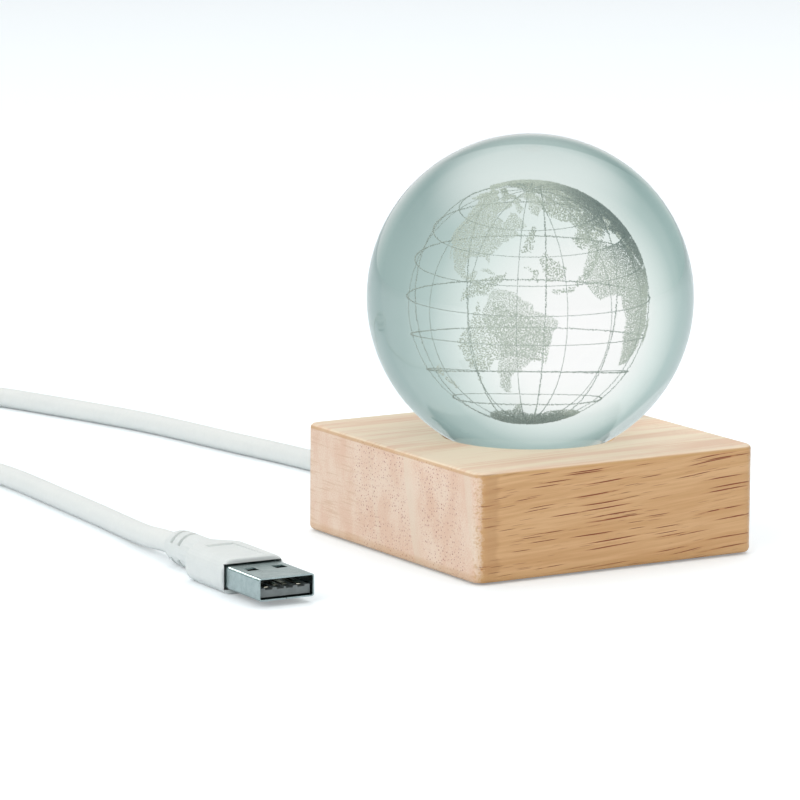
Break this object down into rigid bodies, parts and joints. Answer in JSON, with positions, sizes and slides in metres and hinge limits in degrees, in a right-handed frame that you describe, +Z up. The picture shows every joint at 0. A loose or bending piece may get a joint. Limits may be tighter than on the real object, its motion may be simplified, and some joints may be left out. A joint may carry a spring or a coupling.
{
  "type": "crystal ball lamp",
  "caption": "Solid glass ball with an engraved world globe inside, loose in the round seat of a square wooden light base, with a white USB cord, coil and plug.",
  "frame": {"origin": "middle of the felt pad's underside, on the surface that the lamp stands on", "axes": "+Z up through the ball's centre; -Y towards the base's front face, seen on the right in the picture; the cord leaves through the +Y face; metres"},
  "size_m": [0.1424, 0.2493, 0.0833],
  "materials": {
    "wood": "fine sanded pale hardwood with a thin satin seal",
    "crystal": "polished solid glass with a fine engraving inside",
    "engraving": "frosted by fine cracks",
    "frosted_plastic": "frosted translucent",
    "board_white": "white solder mask",
    "led_yellow": "yellow phosphor in a white frame",
    "chip_black": "matte",
    "solder": "bright solder",
    "screw_steel": "zinc plated",
    "cover_black": "fine matte grain",
    "felt": "short felt",
    "cord_white": "smooth satin sheath",
    "wire_red": "satin insulation",
    "wire_black": "satin insulation",
    "tie_nylon": "natural nylon",
    "strap_white": "woven hook and loop strap",
    "plug_white": "satin moulded",
    "shell_steel": "bright folded sheet",
    "tongue_grey": "matte",
    "contact_gold": "gold plated"
  },
  "bodies": {
    "base": {"wooden_base": "wood", "light_window": "frosted_plastic", "led_board": "board_white", "resistor": "chip_black", "board_screw_1": "screw_steel", "board_screw_2": "screw_steel", "cord_tail": "cord_white", "wire_red": "wire_red", "wire_black": "wire_black", "solder_joint_1": "solder", "solder_joint_2": "solder", "cable_tie": "tie_nylon", "bottom_cover": "cover_black", "felt_pad": "felt", "cord_base_run": "cord_white", "cord_coil": "cord_white", "coil_tie": "strap_white", "cord_plug_run": "cord_white", "plug_overmould": "plug_white", "plug_shell": "shell_steel", "plug_tongue": "tongue_grey", "led_1": "led_yellow", "led_2": "led_yellow", "led_3": "led_yellow", "led_4": "led_yellow", "led_5": "led_yellow", "led_6": "led_yellow", "cover_screw_1": "screw_steel", "cover_screw_2": "screw_steel", "cover_screw_3": "screw_steel", "cover_screw_4": "screw_steel", "plug_contact_1": "contact_gold", "plug_contact_2": "contact_gold", "plug_contact_3": "contact_gold", "plug_contact_4": "contact_gold"},
    "ball": {"crystal_ball": "crystal", "engraved_grid": "engraving", "engraved_north_america": "engraving", "engraved_greenland": "engraving", "engraved_south_america": "engraving", "engraved_africa": "engraving", "engraved_eurasia": "engraving", "engraved_australia": "engraving", "engraved_antarctica": "engraving"}
  },
  "joints": [
    {"name": "ball_lift", "type": "slide", "parent": "base", "child": "ball", "axis": [0, 0, 1], "range_m": [0, 0.05]}
  ]
}
